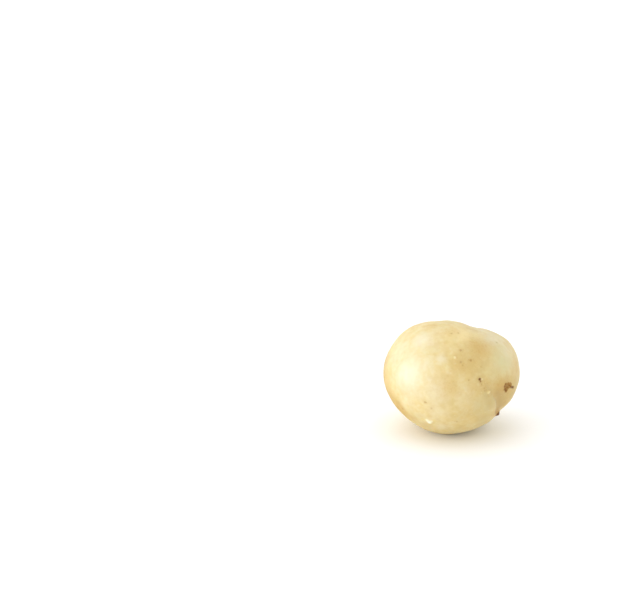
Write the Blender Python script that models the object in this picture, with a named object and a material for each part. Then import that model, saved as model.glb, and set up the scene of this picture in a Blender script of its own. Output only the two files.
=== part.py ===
"""One shelled macadamia kernel: a single solid seed, lying on a small flat spot.

The kernel has axes of its own: right, front and up, with the front towards -Y.
It is shaped upright on them, then leans back and is set down on its flat.
Metres, +Z up. The origin is at the middle of the base of its box.
"""

import math
from collections import namedtuple

import bmesh
import bpy
import numpy as np
from mathutils import Matrix, Vector, noise

MM = 0.001

# Driving sizes, along the kernel's own axes
WIDTH = 19.0 * MM
DEPTH = 17.5 * MM
HEIGHT = 15.5 * MM
LEAN = math.radians(18.0)

# How much is taken off below, which leaves a flat about 4.4 mm across
FLAT_CUT = 0.25 * MM

# Faces along each side of the cube that is blown up into the kernel
FACES_A_SIDE = 28
SMALLEST_EDGE = 0.1 * MM

# The furrow between the two seed halves lies in a plane beside the middle
FURROW_BEARING = 15.0
FURROW_TURN = 3.5
FURROW_OFFSET = 4.95 * MM

# Soft unevenness all over
UNEVEN_HEIGHT = 0.09 * MM
UNEVEN_SCALE = 5.5 * MM

NUT_COLOUR = (0.78, 0.63, 0.34)
NUT_ROUGHNESS = 0.42

# Swell: a round rise or hollow. The bearing goes round the outline from the right over
# the top, the turn lifts off the outline towards the front, and the spread is its radius
# as an angle seen from the middle, all in degrees.
Swell = namedtuple("Swell", "bearing turn height spread")

OUTLINE_SWELLS = (
    Swell(bearing=129, turn=0, height=0.55 * MM, spread=23),
    Swell(bearing=103, turn=0, height=-0.10 * MM, spread=5),
    Swell(bearing=94, turn=4, height=0.08 * MM, spread=6),
    Swell(bearing=74, turn=0, height=0.04 * MM, spread=6),
    Swell(bearing=67, turn=0, height=-0.20 * MM, spread=15),
    Swell(bearing=58, turn=0, height=0.08 * MM, spread=5),
    Swell(bearing=34, turn=0, height=0.09 * MM, spread=7),
    Swell(bearing=28, turn=0, height=0.45 * MM, spread=19),
    Swell(bearing=-25, turn=0, height=-0.74 * MM, spread=16),
    Swell(bearing=-52, turn=0, height=-0.22 * MM, spread=18),
    Swell(bearing=-77, turn=0, height=-0.12 * MM, spread=12),
    Swell(bearing=-98, turn=0, height=0.22 * MM, spread=26),
    Swell(bearing=-158, turn=0, height=-0.26 * MM, spread=28),
)

FRONT_SWELLS = (
    Swell(bearing=22, turn=38, height=0.16 * MM, spread=20),
    Swell(bearing=170, turn=50, height=0.15 * MM, spread=40),
    Swell(bearing=60, turn=62, height=-0.14 * MM, spread=26),
)

BACK_SWELLS = (
    Swell(bearing=150, turn=-48, height=0.34 * MM, spread=38),
    Swell(bearing=205, turn=-30, height=-0.30 * MM, spread=24),
    Swell(bearing=60, turn=-50, height=-0.34 * MM, spread=30),
    Swell(bearing=-70, turn=-55, height=0.24 * MM, spread=34),
)

# The round scar where the seed hung in its shell, a dimple with a raised rim
SCAR = Swell(bearing=118, turn=-66, height=-0.42 * MM, spread=13)
SCAR_RIM_HEIGHT = 0.13 * MM
SCAR_RIM_SPREAD = 24

# Stations round the furrow, from its front over the top to the back and up again from
# below: the angle, the depth, and how wide its left and its right flank are
Station = namedtuple("Station", "angle depth left right")

STATIONS = (
    Station(angle=-180, depth=0.14 * MM, left=0.9 * MM, right=0.9 * MM),
    Station(angle=-125, depth=0.20 * MM, left=0.9 * MM, right=1.2 * MM),
    Station(angle=-92, depth=0.22 * MM, left=0.8 * MM, right=1.4 * MM),
    Station(angle=-66, depth=0.40 * MM, left=0.5 * MM, right=1.5 * MM),
    Station(angle=-54, depth=0.58 * MM, left=0.5 * MM, right=1.8 * MM),
    Station(angle=-38, depth=0.56 * MM, left=0.6 * MM, right=2.0 * MM),
    Station(angle=-20, depth=0.36 * MM, left=1.3 * MM, right=2.5 * MM),
    Station(angle=30, depth=0.28 * MM, left=2.4 * MM, right=2.3 * MM),
    Station(angle=75, depth=0.27 * MM, left=1.2 * MM, right=1.7 * MM),
    Station(angle=120, depth=0.18 * MM, left=1.1 * MM, right=1.0 * MM),
    Station(angle=180, depth=0.14 * MM, left=0.9 * MM, right=0.9 * MM),
)

# Where the furrow wanders off its plane, because the left half bulges over it near the
# foot: the angle, how far to the right it goes, and over what angle it does so
Bend = namedtuple("Bend", "angle shift spread")

BENDS = (
    Bend(angle=-4, shift=-0.55 * MM, spread=24),
    Bend(angle=-44, shift=0.40 * MM, spread=12),
)


def heading(bearing, turn):
    """The unit direction from the kernel's middle at a bearing and a turn in degrees."""
    round_outline = math.radians(bearing)
    to_front = math.radians(turn)
    return Vector((
        math.cos(round_outline) * math.cos(to_front),
        -math.sin(to_front),
        math.sin(round_outline) * math.cos(to_front),
    ))


def swell_height(direction, swell):
    """How far a swell lifts the surface in this direction."""
    away = direction.angle(heading(swell.bearing, swell.turn))
    return swell.height * math.exp(-((away / math.radians(swell.spread)) ** 2))


def scar_height(direction):
    """The scar's dimple and the low rim round it."""
    rim = SCAR._replace(height=SCAR_RIM_HEIGHT, spread=SCAR_RIM_SPREAD)
    return swell_height(direction, SCAR) + swell_height(direction, rim)


def furrow_axes():
    """The furrow plane's normal, and its directions to the front and to the top."""
    normal = heading(FURROW_BEARING, FURROW_TURN)
    front = (Vector((0, -1, 0)) + normal * normal.y).normalized()
    top = front.cross(normal).normalized()
    if top.z < 0:
        top.negate()
    return normal, front, top


def furrow_bulge(angle):
    """How far to the right of its plane the furrow lies at an angle round it."""
    return sum(
        bend.shift * math.exp(-(((angle - bend.angle) / bend.spread) ** 2))
        for bend in BENDS
    )


def furrow_height(point):
    """How far the furrow between the seed halves lowers the surface at a point."""
    normal, front, top = furrow_axes()
    angle = math.degrees(math.atan2(point.dot(top), point.dot(front)))
    aside = point.dot(normal) - FURROW_OFFSET - furrow_bulge(angle)
    angles = [station.angle for station in STATIONS]
    depth = np.interp(angle, angles, [station.depth for station in STATIONS])
    flanks = [station.left if aside < 0 else station.right for station in STATIONS]
    flank = np.interp(angle, angles, flanks)
    return -depth * math.exp(-((aside / flank) ** 2))


def egg_radius(direction):
    """The radius of the plain egg-shaped body under the swells."""
    halves = (WIDTH / 2, DEPTH / 2, HEIGHT / 2)
    return 1 / math.sqrt(sum((d / half) ** 2 for d, half in zip(direction, halves)))


def surface_point(direction):
    """The kernel's surface in a direction from its middle."""
    point = direction * egg_radius(direction)
    rise = sum(
        swell_height(direction, swell)
        for swell in OUTLINE_SWELLS + FRONT_SWELLS + BACK_SWELLS
    )
    rise += scar_height(direction)
    rise += furrow_height(point)
    rise += UNEVEN_HEIGHT * noise.noise(point / UNEVEN_SCALE)
    return point + direction * rise


def ball_of_squares():
    """A ball of even squares, from a cube whose faces are cut into a grid."""
    ball = bmesh.new()
    bmesh.ops.create_cube(ball, size=2.0)
    bmesh.ops.subdivide_edges(
        ball, edges=ball.edges[:], cuts=FACES_A_SIDE - 1, use_grid_fill=True
    )
    for vert in ball.verts:
        evened = [math.tan(math.pi / 4 * coordinate) for coordinate in vert.co]
        vert.co = Vector(evened).normalized()
    return ball


def cut_resting_flat(kernel):
    """Takes the lowest part off level, so that the kernel stands on a small flat."""
    level = min(vert.co.z for vert in kernel.verts) + FLAT_CUT
    bmesh.ops.bisect_plane(
        kernel,
        geom=kernel.verts[:] + kernel.edges[:] + kernel.faces[:],
        dist=SMALLEST_EDGE / 2,
        plane_co=(0, 0, level),
        plane_no=(0, 0, -1),
        clear_outer=True,
    )
    rim = {vert for edge in kernel.edges if edge.is_boundary for vert in edge.verts}
    for vert in rim:
        vert.co.z = level
    bmesh.ops.remove_doubles(kernel, verts=list(rim), dist=SMALLEST_EDGE)
    rim_edges = [edge for edge in kernel.edges if edge.is_boundary]
    bmesh.ops.contextual_create(kernel, geom=rim_edges)
    for edge in rim_edges:
        edge.smooth = False


def centre_over_origin(kernel):
    """Sets the middle of the base of the kernel's box at the origin."""
    points = np.array([vert.co for vert in kernel.verts])
    low, high = points.min(axis=0), points.max(axis=0)
    middle = Vector(((low[0] + high[0]) / 2, (low[1] + high[1]) / 2, low[2]))
    bmesh.ops.translate(kernel, verts=kernel.verts[:], vec=-middle)


def nut_material():
    """Waxy ivory nut flesh."""
    material = bpy.data.materials.new("nut_flesh")
    material.use_nodes = True
    shader = material.node_tree.nodes["Principled BSDF"]
    shader.inputs["Base Color"].default_value = (*NUT_COLOUR, 1)
    shader.inputs["Roughness"].default_value = NUT_ROUGHNESS
    shader.inputs["Metallic"].default_value = 0
    return material


def make_kernel():
    """The whole kernel, as one closed body."""
    kernel = ball_of_squares()
    for vert in kernel.verts:
        vert.co = surface_point(vert.co)
    lean_back = Matrix.Rotation(-LEAN, 3, "X")
    bmesh.ops.transform(kernel, matrix=lean_back.to_4x4(), verts=kernel.verts[:])
    cut_resting_flat(kernel)
    centre_over_origin(kernel)
    bmesh.ops.recalc_face_normals(kernel, faces=kernel.faces[:])
    for face in kernel.faces:
        face.smooth = True
    mesh = bpy.data.meshes.new("kernel")
    kernel.to_mesh(mesh)
    kernel.free()
    mesh.materials.append(nut_material())
    bpy.context.scene.collection.objects.link(bpy.data.objects.new("kernel", mesh))


for old in bpy.data.objects[:]:
    bpy.data.objects.remove(old)
make_kernel()
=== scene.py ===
# %% [markdown]
# This lesson dresses one shelled macadamia kernel: a near-round, waxy seed of about 19 mm,
# lying on a white table in soft light. Its plain solid was made before, and comes in here as
# a fixed frame. The lesson wraps a finer skin over it, gives the skin its small relief, mixes
# a nut-flesh finish from nodes, and lights it.
#
# The box of the frame is kept straight away.

import math
import random
from collections import namedtuple

import bmesh
import bpy
import numpy as np
from mathutils import Matrix, Vector, noise
from mathutils.bvhtree import BVHTree


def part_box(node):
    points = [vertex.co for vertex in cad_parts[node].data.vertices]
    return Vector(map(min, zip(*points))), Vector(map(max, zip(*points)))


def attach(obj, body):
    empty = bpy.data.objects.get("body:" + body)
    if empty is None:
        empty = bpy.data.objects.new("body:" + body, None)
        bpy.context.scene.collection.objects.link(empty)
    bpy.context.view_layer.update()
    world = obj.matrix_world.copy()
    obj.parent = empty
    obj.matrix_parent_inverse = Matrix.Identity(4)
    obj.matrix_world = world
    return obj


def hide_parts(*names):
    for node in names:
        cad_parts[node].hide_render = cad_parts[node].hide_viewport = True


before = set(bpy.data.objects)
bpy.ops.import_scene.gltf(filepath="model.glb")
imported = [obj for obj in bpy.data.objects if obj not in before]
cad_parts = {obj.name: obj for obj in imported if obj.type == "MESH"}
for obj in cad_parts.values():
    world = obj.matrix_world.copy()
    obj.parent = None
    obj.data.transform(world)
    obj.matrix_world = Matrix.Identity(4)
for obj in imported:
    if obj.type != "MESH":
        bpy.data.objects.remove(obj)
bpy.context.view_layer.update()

MM = 0.001
low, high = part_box("kernel")
middle = (low + high) / 2
print("kernel, mm:", [round(side / MM, 2) for side in high - low])

# %% [markdown]
# The photo was taken from a little above the table. A camera is an angle, a lens and a
# distance, and each has its own evidence. How far apart things stand on the table gives the
# angle, 18 degrees. A calm, flat look without bulging gives a long lens. The distance then
# follows: the kernel's real width has to cover as many pixels as it does in the photo.
#
# The kernel isn't in the middle of the photo, so the camera looks past it. Its place is
# worked out from the pixel that the kernel's middle falls on.

# %% Set up the camera
PHOTO_WIDTH = 633
PHOTO_HEIGHT = 606
KERNEL_SPAN = 136.6
KERNEL_MIDDLE_X = 451.4
KERNEL_MIDDLE_Y = 376.4
LOOK_DOWN = math.radians(18.0)
LENS = 100.0
SENSOR = 36.0
NEAREST_SEEN = 10 * MM
FOCAL_PIXELS = PHOTO_WIDTH * LENS / SENSOR

rightward = Vector((1, 0, 0))
forward = Vector((0, math.cos(LOOK_DOWN), -math.sin(LOOK_DOWN)))
upward = rightward.cross(forward)


def sight_line(x, y):
    """The direction from the camera through a pixel of the photo, one unit deep."""
    across = (x - PHOTO_WIDTH / 2) / FOCAL_PIXELS
    above = (PHOTO_HEIGHT / 2 - y) / FOCAL_PIXELS
    return forward + rightward * across + upward * above


distance = (high.x - low.x) * FOCAL_PIXELS / KERNEL_SPAN
eye = middle - sight_line(KERNEL_MIDDLE_X, KERNEL_MIDDLE_Y) * distance

camera = bpy.data.objects.new("camera", bpy.data.cameras.new("camera"))
bpy.context.scene.collection.objects.link(camera)
turned = Matrix((rightward, upward, -forward)).transposed().to_4x4()
camera.matrix_world = Matrix.Translation(eye) @ turned
camera.data.lens = LENS
camera.data.sensor_width = SENSOR
camera.data.clip_start = NEAREST_SEEN
bpy.context.scene.camera = camera
print("camera to kernel, mm:", round(distance / MM, 1))

# %% [markdown]
# Marks on the kernel are placed by the pixel where the photo shows them. A line of sight
# through that pixel meets the built solid at one point, and that point is where the mark
# sits, seen from any side. The solid's triangles are loose when they come in, so a copy is
# merged before it is searched.

# %% Find a place on the kernel from a pixel
WELD = 0.001 * MM

solid = bmesh.new()
solid.from_mesh(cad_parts["kernel"].data)
bmesh.ops.remove_doubles(solid, verts=solid.verts[:], dist=WELD)
built_surface = BVHTree.FromBMesh(solid)
solid.free()


def on_kernel(x, y):
    """The point of the kernel that a pixel of the photo shows, in mm."""
    point = built_surface.ray_cast(eye, sight_line(x, y))[0]
    return point / MM


seen = on_kernel(KERNEL_MIDDLE_X, KERNEL_MIDDLE_Y)
print("seen in its middle, mm:", [round(value, 2) for value in seen])

# %% [markdown]
# The skin of the kernel is one closed sheet. A ball made from a cube has even squares and no
# poles, which relief and smooth light both like. Each of its points is pushed straight out
# from the middle until it meets the solid. The solid has flat facets half a millimetre wide,
# so the skin is then smoothed: many gentle steps take the facets away and leave the form.

# %% Wrap a fine skin over the solid
FACES_A_SIDE = 126
SMOOTHING_STEPS = 45
SMOOTHING_SHARE = 0.5

skin = bmesh.new()
bmesh.ops.create_cube(skin, size=2.0)
bmesh.ops.subdivide_edges(
    skin, edges=skin.edges[:], cuts=FACES_A_SIDE - 1, use_grid_fill=True
)
for vert in skin.verts:
    evened = Vector([math.tan(math.pi / 4 * coordinate) for coordinate in vert.co])
    vert.co = built_surface.ray_cast(middle, evened.normalized())[0]
for step in range(SMOOTHING_STEPS):
    bmesh.ops.smooth_vert(
        skin,
        verts=skin.verts[:],
        factor=SMOOTHING_SHARE,
        use_axis_x=True,
        use_axis_y=True,
        use_axis_z=True,
    )
bmesh.ops.recalc_face_normals(skin, faces=skin.faces[:])

skin_mesh = bpy.data.meshes.new("kernel_skin")
skin.to_mesh(skin_mesh)
skin.free()
kernel_skin = bpy.data.objects.new("kernel_skin", skin_mesh)
bpy.context.scene.collection.objects.link(kernel_skin)
skin_mesh.shade_smooth()
print("skin triangles:", 2 * len(skin_mesh.polygons))

# %% [markdown]
# Relief is worked out as one height for each point of the skin, in mm, and every mark adds
# its share. The helpers say how a mark fades with distance, how uneven the flesh is, and how
# far the heights reach, which each later step prints.

# %% Helpers for relief
def read_vectors(kind):
    """One kind of vector of the skin's points, as a row for each point."""
    values = np.empty(len(skin_mesh.vertices) * 3)
    skin_mesh.vertices.foreach_get(kind, values)
    return values.reshape(-1, 3)


points = read_vectors("co") / MM
normals = read_vectors("normal")


def away_from(place):
    """How far each point of the skin is from a place."""
    return np.linalg.norm(points - np.array(place), axis=1)


def bell(span, width):
    """1 at a distance of 0, fading to nothing a few widths out."""
    return np.exp(-((span / width) ** 2))


def disc(span, near, far):
    """1 up to a near distance, 0 beyond a far one, and a straight slope between."""
    return np.clip((far - span) / (far - near), 0, 1)


def uneven(grain, shift=0.0):
    """Soft random heights from about -1 to 1, with bumps about one grain wide."""
    start = Vector((shift, shift, shift))
    return np.array([noise.noise(Vector(point) / grain + start) for point in points])


def islands(covered, contrast, grain, shift):
    """A mask in ragged islands: how much they cover, and how hard their edges are."""
    return np.clip(covered + contrast * uneven(grain, shift), 0, 1)


def reach_of(heights):
    """The lowest and the highest of some values, in mm."""
    return round(float(heights.min()), 3), round(float(heights.max()), 3)


print("points of the skin:", len(points))

# %% [markdown]
# Up close the flesh isn't a perfect egg. It has slow waves a few millimetres long, and a finer,
# tighter pebbling on top. Noise of three sizes is enough for both. Its shift takes each size
# from another part of the noise, so that they don't rise and fall together. All of it is so
# low that only the light shows it.

# %% Waves and pebbling
Wave = namedtuple("Wave", "height grain shift")
WAVES = (
    Wave(height=0.035, grain=2.6, shift=0.0),
    Wave(height=0.014, grain=1.1, shift=5.0),
    Wave(height=0.006, grain=0.45, shift=9.0),
)

relief = np.zeros(len(points))
for wave in WAVES:
    relief += wave.height * uneven(wave.grain, wave.shift)
print("waves, mm:", reach_of(relief))

# %% [markdown]
# There are dents of all sizes too: a few broad ones where the kernel was pressed, and many
# that are hardly more than a pinprick. The fourth power of a random share gives this mixture.
# The broader a dent is, the deeper it goes.

# %% Dents
DENTS = 110
DENT_SEED = 4
LEAST_WIDTH = 0.12
LEAST_DEPTH = 0.008
DEPTH_SHARE = 0.028


def any_way(draw):
    """A direction, drawn evenly from all directions."""
    return Vector([draw.gauss(0, 1) for axis in range(3)]).normalized()


def outwards(way, start=middle):
    """The point of the kernel in a direction from its middle, or another start, in mm."""
    return built_surface.ray_cast(start, way)[0] / MM


draw = random.Random(DENT_SEED)
for dent in range(DENTS):
    place = outwards(any_way(draw))
    width = LEAST_WIDTH + draw.random() ** 4
    relief -= (LEAST_DEPTH + DEPTH_SHARE * width) * bell(away_from(place), width)
print("with dents, mm:", reach_of(relief))

# %% [markdown]
# A kernel is two seed halves pressed together, and a furrow marks where they meet. In front
# its line is followed by pixels from the top to the foot, where the left half bulges over it.
# Everywhere else it lies in a plane, which three more pixels give: rays cast outwards in that
# plane find the rest of the line, over the back and underneath.

# %% Follow the furrow round the kernel
CREASE_PIXELS = (
    (475.4, 328.6),
    (477.4, 340.0),
    (479.3, 352.0),
    (481.2, 363.5),
    (484.3, 377.5),
    (486.9, 385.0),
    (489.6, 391.2),
    (492.4, 396.0),
    (495.2, 399.6),
    (496.1, 403.6),
    (495.5, 407.4),
    (495.3, 411.2),
)
PLANE_PIXELS = ((474.0, 328.0), (478.6, 343.8), (495.4, 412.4))
HIDDEN_STEPS = 40

crease = [on_kernel(x, y) for x, y in CREASE_PIXELS]
plane_top, plane_front, plane_foot = [on_kernel(x, y) for x, y in PLANE_PIXELS]
furrow_normal = (plane_front - plane_top).cross(plane_foot - plane_top).normalized()
if furrow_normal.x < 0:
    furrow_normal.negate()
hub = middle / MM + furrow_normal * furrow_normal.dot(plane_front - middle / MM)

to_top = (crease[0] - hub).normalized()
to_back = furrow_normal.cross(to_top)
if to_back.y < 0:
    to_back.negate()
foot_way = crease[-1] - hub
hidden_turn = math.atan2(foot_way.dot(to_back), foot_way.dot(to_top)) % math.tau
for step in range(1, HIDDEN_STEPS):
    turn = hidden_turn * (1 - step / HIDDEN_STEPS)
    way = to_top * math.cos(turn) + to_back * math.sin(turn)
    crease.append(outwards(way, start=hub * MM))
crease.append(crease[0])
print("furrow points:", len(crease), "hidden turn:", round(math.degrees(hidden_turn)))

# %% [markdown]
# A mark that follows a line needs to know how far each point of the skin is from that line.
# For the furrow it also matters on which side the point lies, because the left half overlaps
# the right one. A little noise makes the line waver, as a grown one does.

# %% Distance from a line
WAVER = 0.05
WAVER_GRAIN = 0.8


def from_line(line):
    """The way from the nearest place on a line to each point of the skin, as vectors."""
    nearest = np.full(points.shape, np.inf)
    for start, end in zip(line, line[1:]):
        start, end = np.array(start), np.array(end)
        stroke = end - start
        share = np.clip((points - start) @ stroke / (stroke @ stroke), 0, 1)
        away = points - start - share[:, None] * stroke
        closer = (away**2).sum(axis=1) < (nearest**2).sum(axis=1)
        nearest[closer] = away[closer]
    return nearest


def beside_line(line):
    """How far each point of the skin is from a line."""
    return np.linalg.norm(from_line(line), axis=1)


from_crease = from_line(crease)
side = np.linalg.norm(from_crease, axis=1) * np.sign(from_crease @ np.array(furrow_normal))
side += WAVER * uneven(WAVER_GRAIN, shift=3.0)
print("reach beside the furrow, mm:", reach_of(side))

# %% [markdown]
# At the lower right the overlap is plain: a soft lip on the left, and a narrow groove right
# under it. There the right half also bulges a little, and the left one draws in below the
# groove. Over the front the two halves are grown together smoothly. On the back and
# underneath the furrow is a hairline that comes and goes.

# %% Lip, groove and hairline
LIP_MIDDLE = (495.0, 402.0)
LIP_REACH = 1.7
SMOOTH_FRONT = (481.0, 362.0)
SMOOTH_REACH = 5.0
Ridge = namedtuple("Ridge", "aside height width")
LIP = Ridge(aside=-0.34, height=0.07, width=0.38)
GROOVE = Ridge(aside=0.10, height=-0.07, width=0.26)
HAIRLINE = Ridge(aside=0.0, height=-0.045, width=0.12)
Swell = namedtuple("Swell", "x y height width")
HALF_BULGE = Swell(x=508.3, y=400.6, height=0.16, width=1.5)
FOOT_HOLLOW = Swell(x=487.2, y=421.8, height=-0.09, width=1.4)

overlap = bell(away_from(on_kernel(*LIP_MIDDLE)), LIP_REACH)
broken = islands(covered=0.4, contrast=1.3, grain=1.6, shift=13.0)
broken *= 1 - bell(away_from(on_kernel(*SMOOTH_FRONT)), SMOOTH_REACH)
for ridge, strength in ((LIP, overlap), (GROOVE, overlap), (HAIRLINE, broken)):
    relief += ridge.height * strength * bell(side - ridge.aside, ridge.width)
for swell in (HALF_BULGE, FOOT_HOLLOW):
    relief += swell.height * bell(away_from(on_kernel(swell.x, swell.y)), swell.width)
print("with the furrow, mm:", reach_of(relief))

# %% [markdown]
# The scar on the back, where the seed hung in its shell, is a dimple of the solid. The skin
# gives it a rough floor that is sunk a little, a low ragged rim, and a small pit in its middle.

# %% Floor of the scar
SCAR_WAY = Vector((-0.19, 0.98, 0.06))
SCAR_RADIUS = 1.15
SCAR_SLOPE = 0.6
SCAR_RAGGED = 0.25
SCAR_DEPTH = 0.06
SCAR_ROUGH = 0.08
RIM_HEIGHT = 0.06
RIM_WIDTH = 0.2
PIT_RADIUS = 0.26
PIT_DEPTH = 0.12

scar_span = away_from(outwards(SCAR_WAY)) * (1 + SCAR_RAGGED * uneven(grain=0.9, shift=17.0))
scar_floor = disc(scar_span, SCAR_RADIUS - SCAR_SLOPE, SCAR_RADIUS)
relief += scar_floor * (-SCAR_DEPTH + SCAR_ROUGH * uneven(grain=0.3, shift=23.0))
relief += RIM_HEIGHT * bell(scar_span - SCAR_RADIUS, RIM_WIDTH)
relief -= PIT_DEPTH * bell(scar_span, PIT_RADIUS)
print("with the scar, mm:", reach_of(relief))

# %% [markdown]
# Small brown specks sit in shallow pits, each with a slight rim. Those that the photo shows
# are listed with their pixel, radius in mm and darkness. The hidden sides get others of the
# same sizes by a seeded draw. It leaves out the ways that point to the camera, so that the
# side in the photo gets none, and those that point down, where the kernel rests.

# %% Specks and their pits
Speck = namedtuple("Speck", "place radius darkness")
PHOTO_SPECKS = (
    (480.0, 379.3, 0.22, 1.0),
    (480.7, 380.9, 0.12, 0.8),
    (480.2, 382.4, 0.13, 0.16),
    (481.6, 384.3, 0.11, 0.16),
    (484.4, 388.3, 0.13, 0.12),
    (486.4, 390.0, 0.13, 0.12),
    (484.6, 390.6, 0.12, 0.10),
    (460.7, 350.2, 0.19, 0.32),
    (470.8, 360.3, 0.20, 0.36),
    (468.9, 359.8, 0.12, 0.15),
    (460.9, 362.0, 0.18, 0.24),
    (462.8, 365.2, 0.12, 0.13),
    (451.7, 333.5, 0.14, 0.22),
    (458.3, 332.9, 0.14, 0.22),
    (425.2, 402.3, 0.18, 0.28),
    (431.3, 408.4, 0.16, 0.12),
    (402.7, 408.8, 0.16, 0.33),
    (468.8, 380.2, 0.13, 0.19),
    (456.8, 421.6, 0.12, 0.19),
    (481.0, 366.8, 0.12, 0.10),
    (496.8, 342.4, 0.13, 0.33),
)
HIDDEN_SPECKS = 30
SPECK_SEED = 11
FACING = 0.1
UNDERNEATH = -0.6
SPECK_DEPTH = 0.45
SPECK_RIM = 0.10
RIM_AT = 1.7
RIM_SOFTNESS = 0.6

specks = [
    Speck(on_kernel(x, y), radius, darkness) for x, y, radius, darkness in PHOTO_SPECKS
]
draw = random.Random(SPECK_SEED)
while len(specks) < len(PHOTO_SPECKS) + HIDDEN_SPECKS:
    way = any_way(draw)
    radius = draw.uniform(0.26, 0.44) ** 2
    darkness = draw.uniform(0.2, 0.9) ** 1.5
    if way.dot(-forward) < FACING and way.z > UNDERNEATH:
        specks.append(Speck(outwards(way), radius, darkness))
for speck in specks:
    span = away_from(speck.place)
    relief -= SPECK_DEPTH * speck.radius * speck.darkness * bell(span, speck.radius)
    rim = bell(span - RIM_AT * speck.radius, RIM_SOFTNESS * speck.radius)
    relief += SPECK_RIM * speck.radius * rim
print("specks:", len(specks), "and the relief with them, mm:", reach_of(relief))

# %% [markdown]
# Larger marks stand on the right side. A rough brown scab has lost its skin: seven rounds that
# run together make its crooked shape, dark pits stand in it, and a short dark dash trails off
# it. Two smaller scabs, of three drawn rounds each, lie on the back. A small brown nub closes
# the foot of the crease. Two pale beads run together at the upper end of the crease's lip, and
# a third sits alone on the front. A small raised chip lies beside the darkest speck; the pale
# paint on it is partly a painted highlight.

# %% Where scab, nub and beads lie
SCAB_ROUNDS = (
    (505.8, 385.4, 0.40),
    (505.7, 388.2, 0.40),
    (506.2, 390.3, 0.30),
    (508.2, 385.0, 0.38),
    (510.2, 385.4, 0.36),
    (507.6, 387.2, 0.32),
    (509.4, 386.4, 0.26),
)
SCAB_PITS = (
    (506.5, 384.5),
    (505.4, 386.8),
    (507.5, 387.5),
    (509.5, 385.6),
    (505.6, 389.4),
    (506.2, 390.6),
)
SCAB_DASH = ((511.0, 386.9), (512.1, 387.1), (513.1, 387.3))
HIDDEN_SCAB_WAYS = ((-0.62, 0.74, -0.28), (0.78, 0.45, -0.42))
SCAB_SEED = 5
NUB = (497.0, 412.5)
NUB_SHIFT = Vector((0.10, 0.0, -0.20))
NUB_HALO_START = (496.6, 410.2)
BEADS = ((488.2, 392.3, 0.28), (489.2, 391.6, 0.18), (454.8, 357.6, 0.24))
CHIP = (482.0, 379.2)

scab_rounds = [(on_kernel(x, y), radius) for x, y, radius in SCAB_ROUNDS]
scab_pits = [on_kernel(x, y) for x, y in SCAB_PITS]
scab_dash = [on_kernel(x, y) for x, y in SCAB_DASH]
nub = on_kernel(*NUB) + NUB_SHIFT
beads = [(on_kernel(x, y), radius) for x, y, radius in BEADS]
chip = on_kernel(*CHIP)
draw = random.Random(SCAB_SEED)
for way in HIDDEN_SCAB_WAYS:
    centre = built_surface.ray_cast(middle, Vector(way))[0]
    for part in range(3):
        shift = Vector([draw.gauss(0, 0.25 * MM) for axis in range(3)])
        place = built_surface.find_nearest(centre + shift)[0] / MM
        scab_rounds.append((place, draw.uniform(0.14, 0.28)))
print("rounds of the scabs:", len(scab_rounds), "beads:", len(beads))

# %% [markdown]
# The scab is sunk a little and rough inside, and the skin round it stands up as a low edge.
# The edge follows from the mask of the rounds: it is where that mask falls to about a third.
# The nub is the one mark that stands out far, by 0.4 mm at its highest point. The middle of
# its body is kept, because its brown will have to cover all of it.

# %% Relief of scab, nub and beads
SCAB_DEPTH = 0.05
SCAB_ROUGH = 0.05
EDGE_HEIGHT = 0.06
EDGE_LEVEL = 0.35
EDGE_SOFTNESS = 0.25
SCAB_END = 0.02
SCAB_PIT_DEPTH = 0.06
SCAB_PIT_WIDTH = 0.16
NUB_HEIGHT = 0.50
NUB_WIDTH = 0.40
BODY_SHARE = 0.6
BEAD_HEIGHT = 0.40
CHIP_HEIGHT = 0.05
CHIP_WIDTH = 0.15

in_scab = np.max([bell(away_from(place), radius) for place, radius in scab_rounds], axis=0)
relief += in_scab * (-SCAB_DEPTH + SCAB_ROUGH * uneven(grain=0.22, shift=21.0))
scab_edge = bell(in_scab - EDGE_LEVEL, EDGE_SOFTNESS) * (in_scab > SCAB_END)
relief += EDGE_HEIGHT * scab_edge
for place in (*scab_pits, scab_dash[1]):
    relief -= SCAB_PIT_DEPTH * bell(away_from(place), SCAB_PIT_WIDTH)
relief += NUB_HEIGHT * bell(away_from(nub), NUB_WIDTH)
nub_body = nub + Vector(normals[away_from(nub).argmin()]) * (BODY_SHARE * NUB_HEIGHT)
for place, radius in beads:
    relief += BEAD_HEIGHT * radius * bell(away_from(place), radius)
relief += CHIP_HEIGHT * bell(away_from(chip), CHIP_WIDTH)
print("with scabs, nub and beads, mm:", reach_of(relief))

# %% [markdown]
# At the lower left a thin flake has come loose. It is a short V that opens upwards and shows
# white along its strokes, and the flesh is sunk a little between them. At the top left a
# shallow fold of skin runs along under the outline.

# %% Flake and fold
FLAKE_PIXELS = ((426.9, 420.1), (429.4, 422.8), (431.8, 421.1))
FLAKE_HEIGHT = 0.07
FLAKE_WIDTH = 0.18
BED_SHIFT = Vector((0, 0, 0.3))
BED_DEPTH = 0.04
BED_WIDTH = 0.30
FOLD_PIXELS = ((428.6, 325.9), (432.4, 325.3), (436.6, 325.6), (440.6, 326.6))
FOLD_DEPTH = 0.05
FOLD_WIDTH = 0.20

flake = [on_kernel(x, y) for x, y in FLAKE_PIXELS]
fold = [on_kernel(x, y) for x, y in FOLD_PIXELS]
relief += FLAKE_HEIGHT * bell(beside_line(flake), FLAKE_WIDTH)
relief -= BED_DEPTH * bell(away_from(flake[1] + BED_SHIFT), BED_WIDTH)
relief -= FOLD_DEPTH * bell(beside_line(fold), FOLD_WIDTH)
print("flake, mm:", round((flake[2] - flake[0]).length, 2), "across")

# %% [markdown]
# The heights are laid on along each point's normal. They fade out towards the table, where
# the kernel rests on a flat spot: nothing may reach below it.

# %% Lay the relief on the skin
REST_FADE = 0.6

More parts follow.
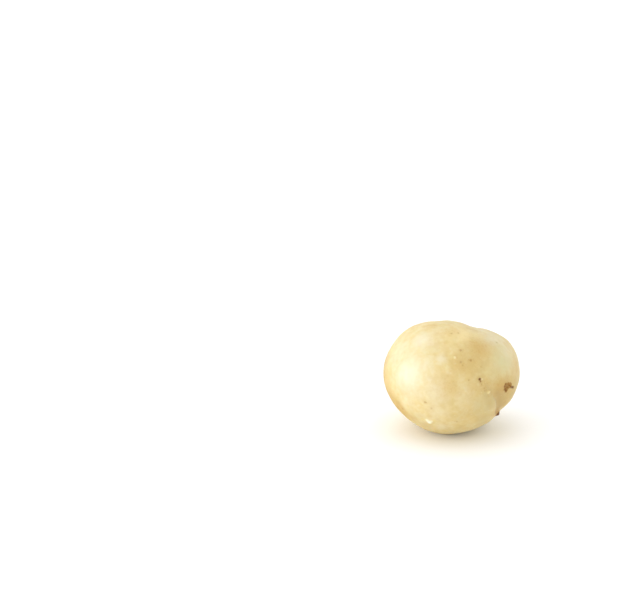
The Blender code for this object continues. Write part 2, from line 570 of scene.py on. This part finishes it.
fade = np.clip(points[:, 2] / REST_FADE, 0, 1)
shaped = points + normals * (relief * fade)[:, None]
shaped[:, 2] = np.maximum(shaped[:, 2], 0)
skin_mesh.vertices.foreach_set("co", (shaped * MM).ravel())
skin_mesh.update()
print("relief in all, mm:", reach_of(relief))

# %% [markdown]
# Broad differences of tone, and painted light and shade as well, are painted on the skin as
# masks, one number for each of its points, which the finish reads later. A patch is placed by
# a pixel and has a width in mm and a strength. Each tint has its own list. The pale one is dry
# flesh, but under the shine at the left it is a painted highlight, and at the upper right it is
# painted light on the crown. The buttery one is painted light on the crown. The tan one is the
# flesh's oily tone, and painted shade on the lower right and on the slope into the valley at
# the top. The deep tan is painted shade, mostly round the furrow, along the lower right outline
# and low down by the foot. The cool ivory lies mostly on the right half, where it is partly
# painted light: the cooler, paler light that falls there. The amber at the left end is painted
# shade with a warm painted reflection in it. Its middle lies a little behind the outline, so
# that only a rim of it shows in front.

# %% Where the patches lie
PHOTO_PATCHES = {
    # pale: dry flesh, with a painted highlight under the shine and painted light at the upper
    # right
    "pale": (
        (409, 374, 3.2, 0.95),
        (422, 341, 2.3, 0.80),
        (440.8, 358.9, 0.8, 0.75),
        (435, 391, 2.4, 0.60),
        (462, 398, 1.6, 0.30),
        (437, 412, 1.8, 0.40),
        (441, 427, 1.0, 0.50),
        (492, 338, 2.4, 0.65),
        (505, 352, 2.0, 0.55),
        (400, 352, 2.8, 0.60),
        (415, 390, 2.0, 0.55),
        (407, 400, 1.8, 0.45),
    ),
    # painted light: the crown made lighter
    "butter_and_crown_light": (
        (464, 335, 1.9, 1.00),
        (476, 335, 1.0, 0.60),
    ),
    # tan: the flesh's oily tone, and painted shade on the lower right and in the valley at the
    # top
    "tan": (
        (478.5, 347.5, 1.8, 0.90),
        (463.5, 366, 1.8, 0.50),
        (475.5, 360, 1.5, 0.45),
        (450, 387, 1.5, 0.55),
        (481.5, 384.5, 0.5, 0.60),
        (484.5, 388.5, 0.6, 0.75),
        (452, 331, 1.4, 0.35),
        (433, 325, 0.7, 0.50),
        (486, 386, 1.3, 0.65),
        (490, 392, 1.0, 0.65),
        (508, 391, 2.1, 0.90),
        (514, 384, 1.6, 0.60),
        (517, 368, 1.3, 0.55),
        (500, 388, 1.6, 0.90),
        (505, 400, 1.2, 0.60),
        (470, 414, 1.8, 0.35),
        (495.0, 412.0, 0.8, 0.90),
        (476, 354, 1.3, 0.40),
        (477, 390, 1.5, 0.40),
    ),
    # painted shade: round the furrow, along the lower right outline and by the foot
    "deep_tone_and_shade": (
        (495.0, 412.5, 0.7, 0.50),
        (488, 394, 1.2, 0.60),
        (491, 404, 1.4, 0.70),
        (504, 398, 1.3, 0.75),
        (461, 418, 1.5, 0.30),
        (482, 408, 1.6, 0.40),
        (504, 403, 0.9, 0.80),
        (510, 396, 0.9, 0.80),
        (515, 389, 0.9, 0.70),
        (486, 417, 1.4, 0.50),
        (482, 424, 1.1, 0.50),
        (425, 425, 1.3, 0.55),
        (415, 418, 1.1, 0.55),
    ),
    # cool ivory: on the right half partly painted light, the cooler and paler light there
    "cool_tone_and_light": (
        (501, 360, 2.3, 0.85),
        (486, 406, 1.9, 0.50),
        (507, 372, 1.3, 0.45),
        (494, 374, 1.6, 0.60),
        (426, 352, 1.2, 0.35),
        (488, 371, 1.6, 0.35),
    ),
}
# The amber line is painted shade with a warm painted reflection, along the lower left outline.
AMBER_PIXELS = (
    (384.0, 371.0),
    (384.4, 379.0),
    (386.4, 387.5),
    (390.0, 395.0),
    (394.6, 401.6),
    (400.0, 407.4),
)
AMBER_WIDTH = 2.4
BEHIND_OUTLINE = 1.35

print("patches listed:", {tint: len(listed) for tint, listed in PHOTO_PATCHES.items()})

# %% [markdown]
# Slow noise pulls the edge of each patch out of round. The hidden sides get patches of every
# tint too, by a seeded draw that keeps only the ways pointing away from the camera. There they
# are random tone, not light or shade.

# %% Paint the patches
Patch = namedtuple("Patch", "place width strength")
PATCH_SEED = 7
HIDDEN_PATCHES = 10
BEHIND = -0.1
RAGGED = 0.35

ragged = uneven(grain=1.3, shift=31.0) + 0.5 * uneven(grain=0.5, shift=37.0)
draw = random.Random(PATCH_SEED)
painted = {}
for tint, listed in PHOTO_PATCHES.items():
    patches = [Patch(on_kernel(x, y), width, strength) for x, y, width, strength in listed]
    while len(patches) < len(listed) + HIDDEN_PATCHES:
        way = any_way(draw)
        width = draw.uniform(0.8, 2.4)
        if way.dot(-forward) < BEHIND:
            patches.append(Patch(outwards(way), width, draw.uniform(0.2, 0.55)))
    layers = [
        patch.strength * bell(away_from(patch.place) * (1 + RAGGED * ragged), patch.width)
        for patch in patches
    ]
    painted[tint] = np.max(layers, axis=0)
# painted shade with a warm painted reflection along the lower left outline
amber_line = [on_kernel(x, y) + forward * BEHIND_OUTLINE for x, y in AMBER_PIXELS]
painted["amber_shade"] = bell(beside_line(amber_line) * (1 + RAGGED * ragged), AMBER_WIDTH)
print("mean strength:", {tint: round(float(mask.mean()), 2) for tint, mask in painted.items()})

# %% [markdown]
# More masks follow the relief: painted shade in the hollow under the lip, which is cut off
# sharply along the crease, the hairline, the floor of the scar, and the brown skin left along
# its rim and pit.

# %% Paint the hollow's shade, the hairline and the scar
HOLLOW_PIXELS = ((497.6, 392.6), (499.0, 398.0), (498.6, 406.0))
HOLLOW_WIDTH = 0.75
CREASE_EDGE = 0.02
CREASE_SOFTNESS = 0.12
HAIRLINE_STRENGTH = 0.35
GROOVE_STRENGTH = 0.25
HAIRLINE_WIDTH = 0.16
SKIN_INSIDE_RIM = 0.1
SKIN_WIDTH = 0.17

right_of_crease = 0.5 + 0.5 * np.tanh((side - CREASE_EDGE) / CREASE_SOFTNESS)
# painted shade in the hollow under the lip, cut off along the crease
hollow = [on_kernel(x, y) for x, y in HOLLOW_PIXELS]
painted["hollow"] = bell(beside_line(hollow), HOLLOW_WIDTH) * right_of_crease
# darker along the furrow line
furrow_darkening = HAIRLINE_STRENGTH * broken + GROOVE_STRENGTH * overlap
painted["hairline"] = furrow_darkening * bell(side, HAIRLINE_WIDTH)
painted["scar"] = scar_floor
left_skin = islands(covered=0.4, contrast=1.4, grain=0.6, shift=41.0)
painted["rim"] = left_skin * bell(scar_span - SCAR_RADIUS + SKIN_INSIDE_RIM, SKIN_WIDTH)
painted["rim"] += bell(scar_span, PIT_RADIUS)
for tint, mask in painted.items():
    layer = skin_mesh.attributes.new(tint, "FLOAT", "POINT")
    layer.data.foreach_set("value", np.clip(mask, 0, 1))
print("painted masks:", list(painted))

# %% [markdown]
# Shader maths is easier to read as Python than as boxes and wires. This small class wraps one
# output socket, so that adding or multiplying two of them puts a Math node between them. One
# function makes every other kind of node: its settings first, then its sockets' values.

# %% Shader maths as Python
class Wire:
    """One output socket of the finish, with arithmetic that adds Math nodes."""

    def __init__(self, tree, socket):
        self.tree = tree
        self.socket = socket

    def maths(self, operation, *others, clamp=False):
        settings = {"operation": operation, "use_clamp": clamp}
        values = dict(enumerate((self, *others)))
        return add_node(self.tree, "ShaderNodeMath", settings, values)

    def __add__(self, other):
        return self.maths("ADD", other)

    def __sub__(self, other):
        return self.maths("SUBTRACT", other)

    def __mul__(self, other):
        return self.maths("MULTIPLY", other)

    def __rsub__(self, other):
        return self.maths("MULTIPLY_ADD", -1.0, other)

    __radd__ = __add__
    __rmul__ = __mul__


def add_node(tree, kind, settings, values, output=0):
    """A node with its settings, its values and links, as the wire of one output."""
    node = tree.nodes.new(kind)
    for name, setting in settings.items():
        setattr(node, name, setting)
    for name, value in values.items():
        socket = node.inputs[name]
        if isinstance(value, Wire):
            tree.links.new(value.socket, socket)
        else:
            socket.default_value = value
    return Wire(tree, node.outputs[output])


# %% [markdown]
# The finish reads Object coordinates, which on this piece are the real place of a point. They
# are turned into mm, so that every size below is one that a ruler could check.

# %% Start the finish
finish = bpy.data.materials.new("nut_flesh")
finish.use_nodes = True
tree = finish.node_tree
shader = tree.nodes["Principled BSDF"]

object_place = add_node(tree, "ShaderNodeTexCoord", {}, {}, output=3)
place_mm = add_node(
    tree, "ShaderNodeVectorMath", {"operation": "SCALE"}, {0: object_place, 3: 1 / MM}
)
print("finish started:", finish.name)

# %% [markdown]
# Noise gives the clouds of tone. It also stirs the place itself, once finely and once more
# roughly: marks drawn on a stirred place get the ragged edges of grown things.

# %% Clouds and stirred places
def cloud(scale, detail=2.0, output=0):
    """Soft noise from 0 to 1 with patches about 1/scale mm wide."""
    values = {"Vector": place_mm, "Scale": scale, "Detail": detail}
    return add_node(tree, "ShaderNodeTexNoise", {}, values, output=output)


def stirred(scale, reach):
    """The place of each point, moved about by up to some part of a mm."""
    shake = cloud(scale, output=1)
    centred = add_node(
        tree,
        "ShaderNodeVectorMath",
        {"operation": "SUBTRACT"},
        {0: shake, 1: (0.5, 0.5, 0.5)},
    )
    values = {0: centred, 1: (2 * reach,) * 3, 2: place_mm}
    return add_node(tree, "ShaderNodeVectorMath", {"operation": "MULTIPLY_ADD"}, values)


fine_place = stirred(scale=5.0, reach=0.11)
rough_place = stirred(scale=3.0, reach=0.20)
print("nodes so far:", len(tree.nodes))

# %% [markdown]
# A mark is a mask and a colour. A mask is 1 on the mark and 0 away from it, with a soft slope
# between, and a Mix node lays the colour over what is there already.

# %% Masks and mixing
def step_down(value, near, far):
    """1 below near, 0 above far, and a soft slope between."""
    settings = {"interpolation_type": "SMOOTHSTEP"}
    return add_node(
        tree, "ShaderNodeMapRange", settings, {0: value, 1: near, 2: far, 3: 1.0, 4: 0.0}
    )


def step_up(value, near, far):
    """0 below near, 1 above far, and a soft slope between."""
    return 1 - step_down(value, near, far)


def spot(place, near, far, where):
    """A round mask about a place on the kernel."""
    span = add_node(
        tree,
        "ShaderNodeVectorMath",
        {"operation": "DISTANCE"},
        {0: where, 1: place},
        output=1,
    )
    return step_down(span, near, far)


def blend(mask, below, above):
    """One colour over another where the mask says so."""
    values = {0: mask, 6: below, 7: above}
    return add_node(tree, "ShaderNodeMix", {"data_type": "RGBA"}, values, output=2)


def paint(tint):
    """One of the masks painted on the skin."""
    return add_node(tree, "ShaderNodeAttribute", {"attribute_name": tint}, {}, output=2)


# %% [markdown]
# Nut flesh is ivory, never one flat tone. Oil makes it deeper and more yellow where it has
# soaked through, and it stays pale and creamy where it is dry. Two clouds of different size
# choose between three tones.

# %% Ivory ground
DEEP_IVORY = (0.63, 0.48, 0.195, 1)
IVORY = (0.675, 0.535, 0.24, 1)
CREAM = (0.705, 0.6, 0.315, 1)
IVORY_SLOPE = (0.38, 0.52)
CREAM_SLOPE = (0.50, 0.64)

slow_cloud = cloud(0.3, detail=3.0)
quick_cloud = cloud(1.3, detail=5.0)
tone = slow_cloud * 0.5 + quick_cloud * 0.5
colour = blend(step_up(tone, *IVORY_SLOPE), DEEP_IVORY, IVORY)
colour = blend(step_up(tone, *CREAM_SLOPE), colour, CREAM)
print("nodes so far:", len(tree.nodes))

# %% [markdown]
# The painted patches, tones of the flesh and painted light and shade alike, come over the
# ground. Each mask is broken up by the quick cloud, so that a patch has small islands and bays
# along its edge, as oil has when it creeps through flesh. The tan ones are grainy as well,
# which a finer cloud gives.

# %% Broad patches
# Painted light and shade are among these: the pale, buttery and cool colours paint light in
# front, the tan and deep ones shade, and the amber one shade with a warm reflection.
SHADES = {
    "pale": (0.735, 0.675, 0.485, 1),
    "butter_and_crown_light": (0.80, 0.665, 0.34, 1),
    "cool_tone_and_light": (0.655, 0.59, 0.325, 1),
    "tan": (0.61, 0.425, 0.15, 1),
    "deep_tone_and_shade": (0.54, 0.41, 0.17, 1),
    "amber_shade": (0.47, 0.285, 0.045, 1),
}
PATCHY_LEAST = 0.65
PATCHY_SPAN = 0.7
TAN_GRAIN = (0.545, 0.335, 0.09, 1)
GRAIN_SLOPE = (0.48, 0.66)
GRAIN_STRENGTH = 0.5

patchy = PATCHY_LEAST + PATCHY_SPAN * quick_cloud
for tint, shade in SHADES.items():
    mask = paint(tint).maths("MULTIPLY", patchy, clamp=True)
    colour = blend(mask, colour, shade)
fine_cloud = cloud(3.6, detail=3.0)
tan_grain = paint("tan") * step_up(fine_cloud, *GRAIN_SLOPE)
colour = blend(tan_grain * GRAIN_STRENGTH, colour, TAN_GRAIN)
print("nodes so far:", len(tree.nodes))

# %% [markdown]
# The hollow under the lip gets painted shade. The hairline is painted darker too, and the scar
# is browner, most of all in what skin is left along its rim. Each mask has its strength: a
# plain number, or a cloud where the brown should come and go.

# %% Painted shade in the hollow, brown on hairline and scar
HOLLOW_SHADE = (0.51, 0.35, 0.13, 1)
HAIRLINE_BROWN = (0.41, 0.245, 0.09, 1)
SCAR_TAN = (0.51, 0.33, 0.11, 1)
RIM_BROWN = (0.34, 0.17, 0.04, 1)

# the hollow's tan is painted shade
for tint, strength, brown in (
    ("hollow", 0.85, HOLLOW_SHADE),
    ("hairline", 0.6, HAIRLINE_BROWN),
    ("scar", fine_cloud, SCAR_TAN),
    ("rim", 0.5, RIM_BROWN),
):
    colour = blend(paint(tint) * strength, colour, brown)
print("nodes so far:", len(tree.nodes))

# %% [markdown]
# Freckles are too many to list. Voronoi cells scatter them: each cell grows round a point of
# its own and may hold one dot there, and the cell's random number says whether it does. One
# set is brown and faint, the other is of pale grains of starch.

# %% Freckles and grains
FRECKLE_BROWN = (0.42, 0.27, 0.11, 1)
FRECKLE_STRENGTH = 0.35
STARCH_STRENGTH = 0.22
DOT_CORE = 0.3
DOT_END = 1.2
CHANCE_BLUR = 0.05


def scattered(cells, radius, kept):
    """Dots of a radius in mm, one in each of a share of the Voronoi cells."""
    values = {"Vector": fine_place, "Scale": cells}
    node = {"feature": "F1"}
    span = add_node(tree, "ShaderNodeTexVoronoi", node, values)
    chance = add_node(tree, "ShaderNodeTexVoronoi", node, values, output=1)
    red = add_node(tree, "ShaderNodeSeparateColor", {}, {0: chance})
    dots = step_down(span, DOT_CORE * radius * cells, DOT_END * radius * cells)
    return dots * step_up(red, 1 - kept - CHANCE_BLUR, 1 - kept + CHANCE_BLUR)


freckles = scattered(cells=0.8, radius=0.11, kept=0.22)
starch = scattered(cells=1.7, radius=0.13, kept=0.30)
colour = blend(starch * STARCH_STRENGTH, colour, SHADES["pale"])
colour = blend(freckles * FRECKLE_STRENGTH, colour, FRECKLE_BROWN)
print("nodes so far:", len(tree.nodes))

# %% [markdown]
# Each speck is a brown dot with a faint warm halo, where oil has crept out of the hurt flesh.
# A faint speck isn't a dark one seen through a veil: it is a lighter, warmer brown.

# %% Specks
HALO = (0.51, 0.32, 0.1, 1)
FAINT_BROWN = (0.38, 0.19, 0.04, 1)
SPECK_BROWN = (0.16, 0.04, 0.001, 1)
HALO_REACH = 3.5
HALO_STRENGTH = 0.35
SPECK_CORE = 0.5
SPECK_END = 1.3
LEAST_PAINT = 0.14

for speck in specks:
    halo = spot(speck.place, speck.radius, HALO_REACH * speck.radius, place_mm)
    core, end = SPECK_CORE * speck.radius, SPECK_END * speck.radius
    dot = spot(speck.place, core, end, fine_place)
    brown = Vector(FAINT_BROWN).lerp(Vector(SPECK_BROWN), speck.darkness**2)
    colour = blend(halo * (HALO_STRENGTH * speck.darkness), colour, HALO)
    colour = blend(dot * min(1.0, LEAST_PAINT + speck.darkness), colour, tuple(brown))
print("nodes so far:", len(tree.nodes))

# %% [markdown]
# Some marks are long, not round, and a round mask would make them fat. Their mask comes from
# the distance of a point from the nearest place on the straight way between two ends.

# %% A long mask
def stroke(start, end, near, far):
    """A soft mask along the straight way between two places."""
    way = end - start
    scaled_way = way / way.length_squared
    vector_maths = "ShaderNodeVectorMath"
    arm = add_node(tree, vector_maths, {"operation": "SUBTRACT"}, {0: fine_place, 1: start})
    share = add_node(
        tree, vector_maths, {"operation": "DOT_PRODUCT"}, {0: arm, 1: scaled_way}, output=1
    )
    share = share.maths("ADD", 0.0, clamp=True)
    foot = add_node(tree, vector_maths, {"operation": "SCALE"}, {0: way, 3: share})
    span = add_node(tree, vector_maths, {"operation": "DISTANCE"}, {0: arm, 1: foot}, output=1)
    return step_down(span, near, far)


# %% [markdown]
# The scab is a paler brown than the dark specks, broken up by grit, and it is dark only in
# its pits and along the dash. The nub is nearly as dark as they are, and a tan streak leads
# down the crease to it.

# %% Scab and nub
SCAB_BROWN = (0.31, 0.15, 0.024, 1)
NUB_HALO = (0.47, 0.27, 0.075, 1)
NUB_BROWN = (0.14, 0.05, 0.003, 1)
DASH_BROWN = (0.19, 0.08, 0.004, 1)
ROUND_CORE = 0.75
ROUND_END = 1.35
GRIT_STRENGTH = 0.9
SCAB_LEAST = 0.40
SCAB_PIT_STRENGTH = 0.75
NUB_HALO_STRENGTH = 0.8

grit = cloud(4.5, detail=3.0)
scab_mask = None
for place, radius in scab_rounds:
    piece = spot(place, ROUND_CORE * radius, ROUND_END * radius, rough_place)
    scab_mask = piece if scab_mask is None else scab_mask.maths("MAXIMUM", piece)
scab_halo = spot(scab_rounds[0][0], near=0.5, far=1.8, where=place_mm)
colour = blend(scab_halo * HALO_STRENGTH, colour, HALO)
colour = blend(scab_mask * (SCAB_LEAST + GRIT_STRENGTH * grit), colour, SCAB_BROWN)
for place in scab_pits:
    pit = spot(place, near=0.05, far=0.24, where=fine_place)
    colour = blend(pit * SCAB_PIT_STRENGTH, colour, SPECK_BROWN)
dash = stroke(scab_dash[0], scab_dash[2], near=0.08, far=0.27)
colour = blend(dash, colour, DASH_BROWN)
nub_halo = stroke(on_kernel(*NUB_HALO_START), nub, near=0.15, far=0.75)
colour = blend(nub_halo * NUB_HALO_STRENGTH, colour, NUB_HALO)
nub_skin = spot(nub_body, near=0.42, far=0.62, where=fine_place)
colour = blend(nub_skin, colour, NUB_BROWN)
print("nodes so far:", len(tree.nodes))

# %% [markdown]
# Where the flesh is broken fresh it is nearly white: along the flake's strokes, more on the
# left one, and less so on the beads. The pale spot on the chip beside the darkest speck is
# partly a fresh break and partly a painted highlight.

# %% Fresh breaks and a painted highlight
FRESH_WHITE = (0.88, 0.83, 0.64, 1)
BEAD_CREAM = (0.90, 0.77, 0.42, 1)
BED_STRENGTH = 0.6
LEFT_STROKE_STRENGTH = 0.9
RIGHT_STROKE_STRENGTH = 0.5
BEAD_CORE = 0.3
BEAD_END = 1.3
BEAD_STRENGTH = 0.55
CHIP_HIGHLIGHT_STRENGTH = 0.4

flake_left, flake_corner, flake_right = flake
in_flake = (flake_left + 2 * flake_corner + flake_right) / 4
bed = spot(in_flake, near=0.1, far=0.62, where=fine_place)
colour = blend(bed * BED_STRENGTH, colour, SHADES["pale"])
left_stroke = stroke(flake_left, flake_corner, near=0.02, far=0.40)
colour = blend(left_stroke * LEFT_STROKE_STRENGTH, colour, FRESH_WHITE)
right_stroke = stroke(flake_corner, flake_right, near=0.03, far=0.34)
colour = blend(right_stroke * RIGHT_STROKE_STRENGTH, colour, FRESH_WHITE)
for place, radius in beads:
    bead = spot(place, BEAD_CORE * radius, BEAD_END * radius, fine_place)
    colour = blend(bead * BEAD_STRENGTH, colour, BEAD_CREAM)
# partly a painted highlight: the pale spot on the chip beside the darkest speck
chip_and_highlight = spot(chip, near=0.05, far=0.26, where=fine_place)
colour = blend(chip_and_highlight * CHIP_HIGHLIGHT_STRENGTH, colour, BEAD_CREAM)
print("nodes so far:", len(tree.nodes))

# %% [markdown]
# Now the shader itself. Nut flesh is waxy: light goes in, spreads a millimetre or so and
# comes out warmer, which is what subsurface scattering does. The gloss is a soft one, from
# oil on a fine-grained surface, so roughness is middling and wanders a little. Grain and
# pores go into a bump, since most of them are finer than the skin's squares.

# %% Waxy shader
WAX = {
    "Subsurface Weight": 0.5,
    "Subsurface Radius": (1.0, 0.65, 0.28),
    "Subsurface Scale": 1.2 * MM,
    "IOR": 1.46,
    "Specular IOR Level": 0.31,
    "Coat Weight": 0.08,
    "Coat Roughness": 0.25,
}
BUMP = {"Strength": 0.3, "Distance": 0.06 * MM}
LEAST_ROUGHNESS = 0.34
CLOUD_ROUGHNESS = 0.14
SCAB_ROUGHNESS = 0.25
GRAIN_ROUGHNESS = 0.1
GRAIN_HEIGHT = 0.5
PORE_HEIGHT = 0.5
FRECKLE_DEPTH = 0.4

grain = cloud(7.0, detail=4.0)
pores = cloud(2.4, detail=2.0)
roughness = LEAST_ROUGHNESS + CLOUD_ROUGHNESS * quick_cloud
roughness = roughness + SCAB_ROUGHNESS * scab_mask + GRAIN_ROUGHNESS * grain
surface_height = grain * GRAIN_HEIGHT + pores * PORE_HEIGHT
surface_height = surface_height + grit * scab_mask - freckles * FRECKLE_DEPTH
bump = add_node(tree, "ShaderNodeBump", {}, {**BUMP, "Height": surface_height})
tree.links.new(colour.socket, shader.inputs["Base Color"])
tree.links.new(roughness.socket, shader.inputs["Roughness"])
tree.links.new(bump.socket, shader.inputs["Normal"])
for name, value in WAX.items():
    shader.inputs[name].default_value = value
skin_mesh.materials.append(finish)
print("nodes in the finish:", len(tree.nodes))

# %% [markdown]
# The table is a plain white sheet that runs out of sight, so that no edge shows from any
# side. It is staging and not part of the kernel.

# %% White table
TABLE_HALF = 6.0
PAPER = {
    "Base Color": (0.985, 0.985, 0.985, 1),
    "Roughness": 0.9,
    "Specular IOR Level": 0.1,
}

table = bmesh.new()
bmesh.ops.create_grid(table, x_segments=1, y_segments=1, size=TABLE_HALF)
table_mesh = bpy.data.meshes.new("white_table")
table.to_mesh(table_mesh)
table.free()
white_table = bpy.data.objects.new("white_table", table_mesh)
bpy.context.scene.collection.objects.link(white_table)
paper = bpy.data.materials.new("white_paper")
paper.use_nodes = True
paper_shader = paper.node_tree.nodes["Principled BSDF"]
for name, value in PAPER.items():
    paper_shader.inputs[name].default_value = value
table_mesh.materials.append(paper)
print("table, m:", 2 * TABLE_HALF, "a side")

# %% [markdown]
# The light is that of a white tent. The tent itself is the world, an even white all round.
# Two soft lamps stand at the left, and the photo tells where: it shows the kernel's broad
# shine as two spots that run together. A line of sight that is mirrored at such a spot points
# at the lamp that makes it. A wide, weak one overhead lights the crown and keeps the shadow on
# the table close to the kernel. The picture is shown plainly, with no film curve.

# %% Soft studio light
TENT_WHITE = (1, 1, 1, 1)
TENT_STRENGTH = 1.04
SHINES = ((404.4, 369.6), (416.0, 376.0))
LAMP_DISTANCE = 0.45
LAMP_SIZE = 0.20
LAMP_POWER = 0.50
OVERHEAD = Vector((-0.08, 0.0, 0.6))
OVERHEAD_SIZE = 0.5
OVERHEAD_POWER = 0.35

world = bpy.data.worlds.new("white_tent")
world.use_nodes = True
tent = world.node_tree.nodes["Background"]
tent.inputs["Color"].default_value = TENT_WHITE
tent.inputs["Strength"].default_value = TENT_STRENGTH
bpy.context.scene.world = world


def add_lamp(name, from_middle, size, power):
    """A round soft lamp somewhere off the kernel's middle, pointed at it."""
    light = bpy.data.lights.new(name, "AREA")
    light.shape = "DISK"
    light.size = size
    light.energy = power
    lamp = bpy.data.objects.new(name, light)
    lamp.location = middle + from_middle
    lamp.rotation_euler = from_middle.to_track_quat("Z", "Y").to_euler()
    bpy.context.scene.collection.objects.link(lamp)
    print(name, "stands towards", [round(part, 2) for part in from_middle.normalized()])


for number, (x, y) in enumerate(SHINES, start=1):
    nearest = away_from(on_kernel(x, y)).argmin()
    to_lamp = sight_line(x, y).reflect(Vector(normals[nearest])).normalized()
    add_lamp(f"lamp_{number}", to_lamp * LAMP_DISTANCE, LAMP_SIZE, LAMP_POWER)
add_lamp("overhead", OVERHEAD, OVERHEAD_SIZE, OVERHEAD_POWER)
bpy.context.scene.view_settings.view_transform = "Standard"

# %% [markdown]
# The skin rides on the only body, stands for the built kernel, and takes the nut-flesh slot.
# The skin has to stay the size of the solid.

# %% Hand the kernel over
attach(kernel_skin, "root")
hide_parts("kernel")
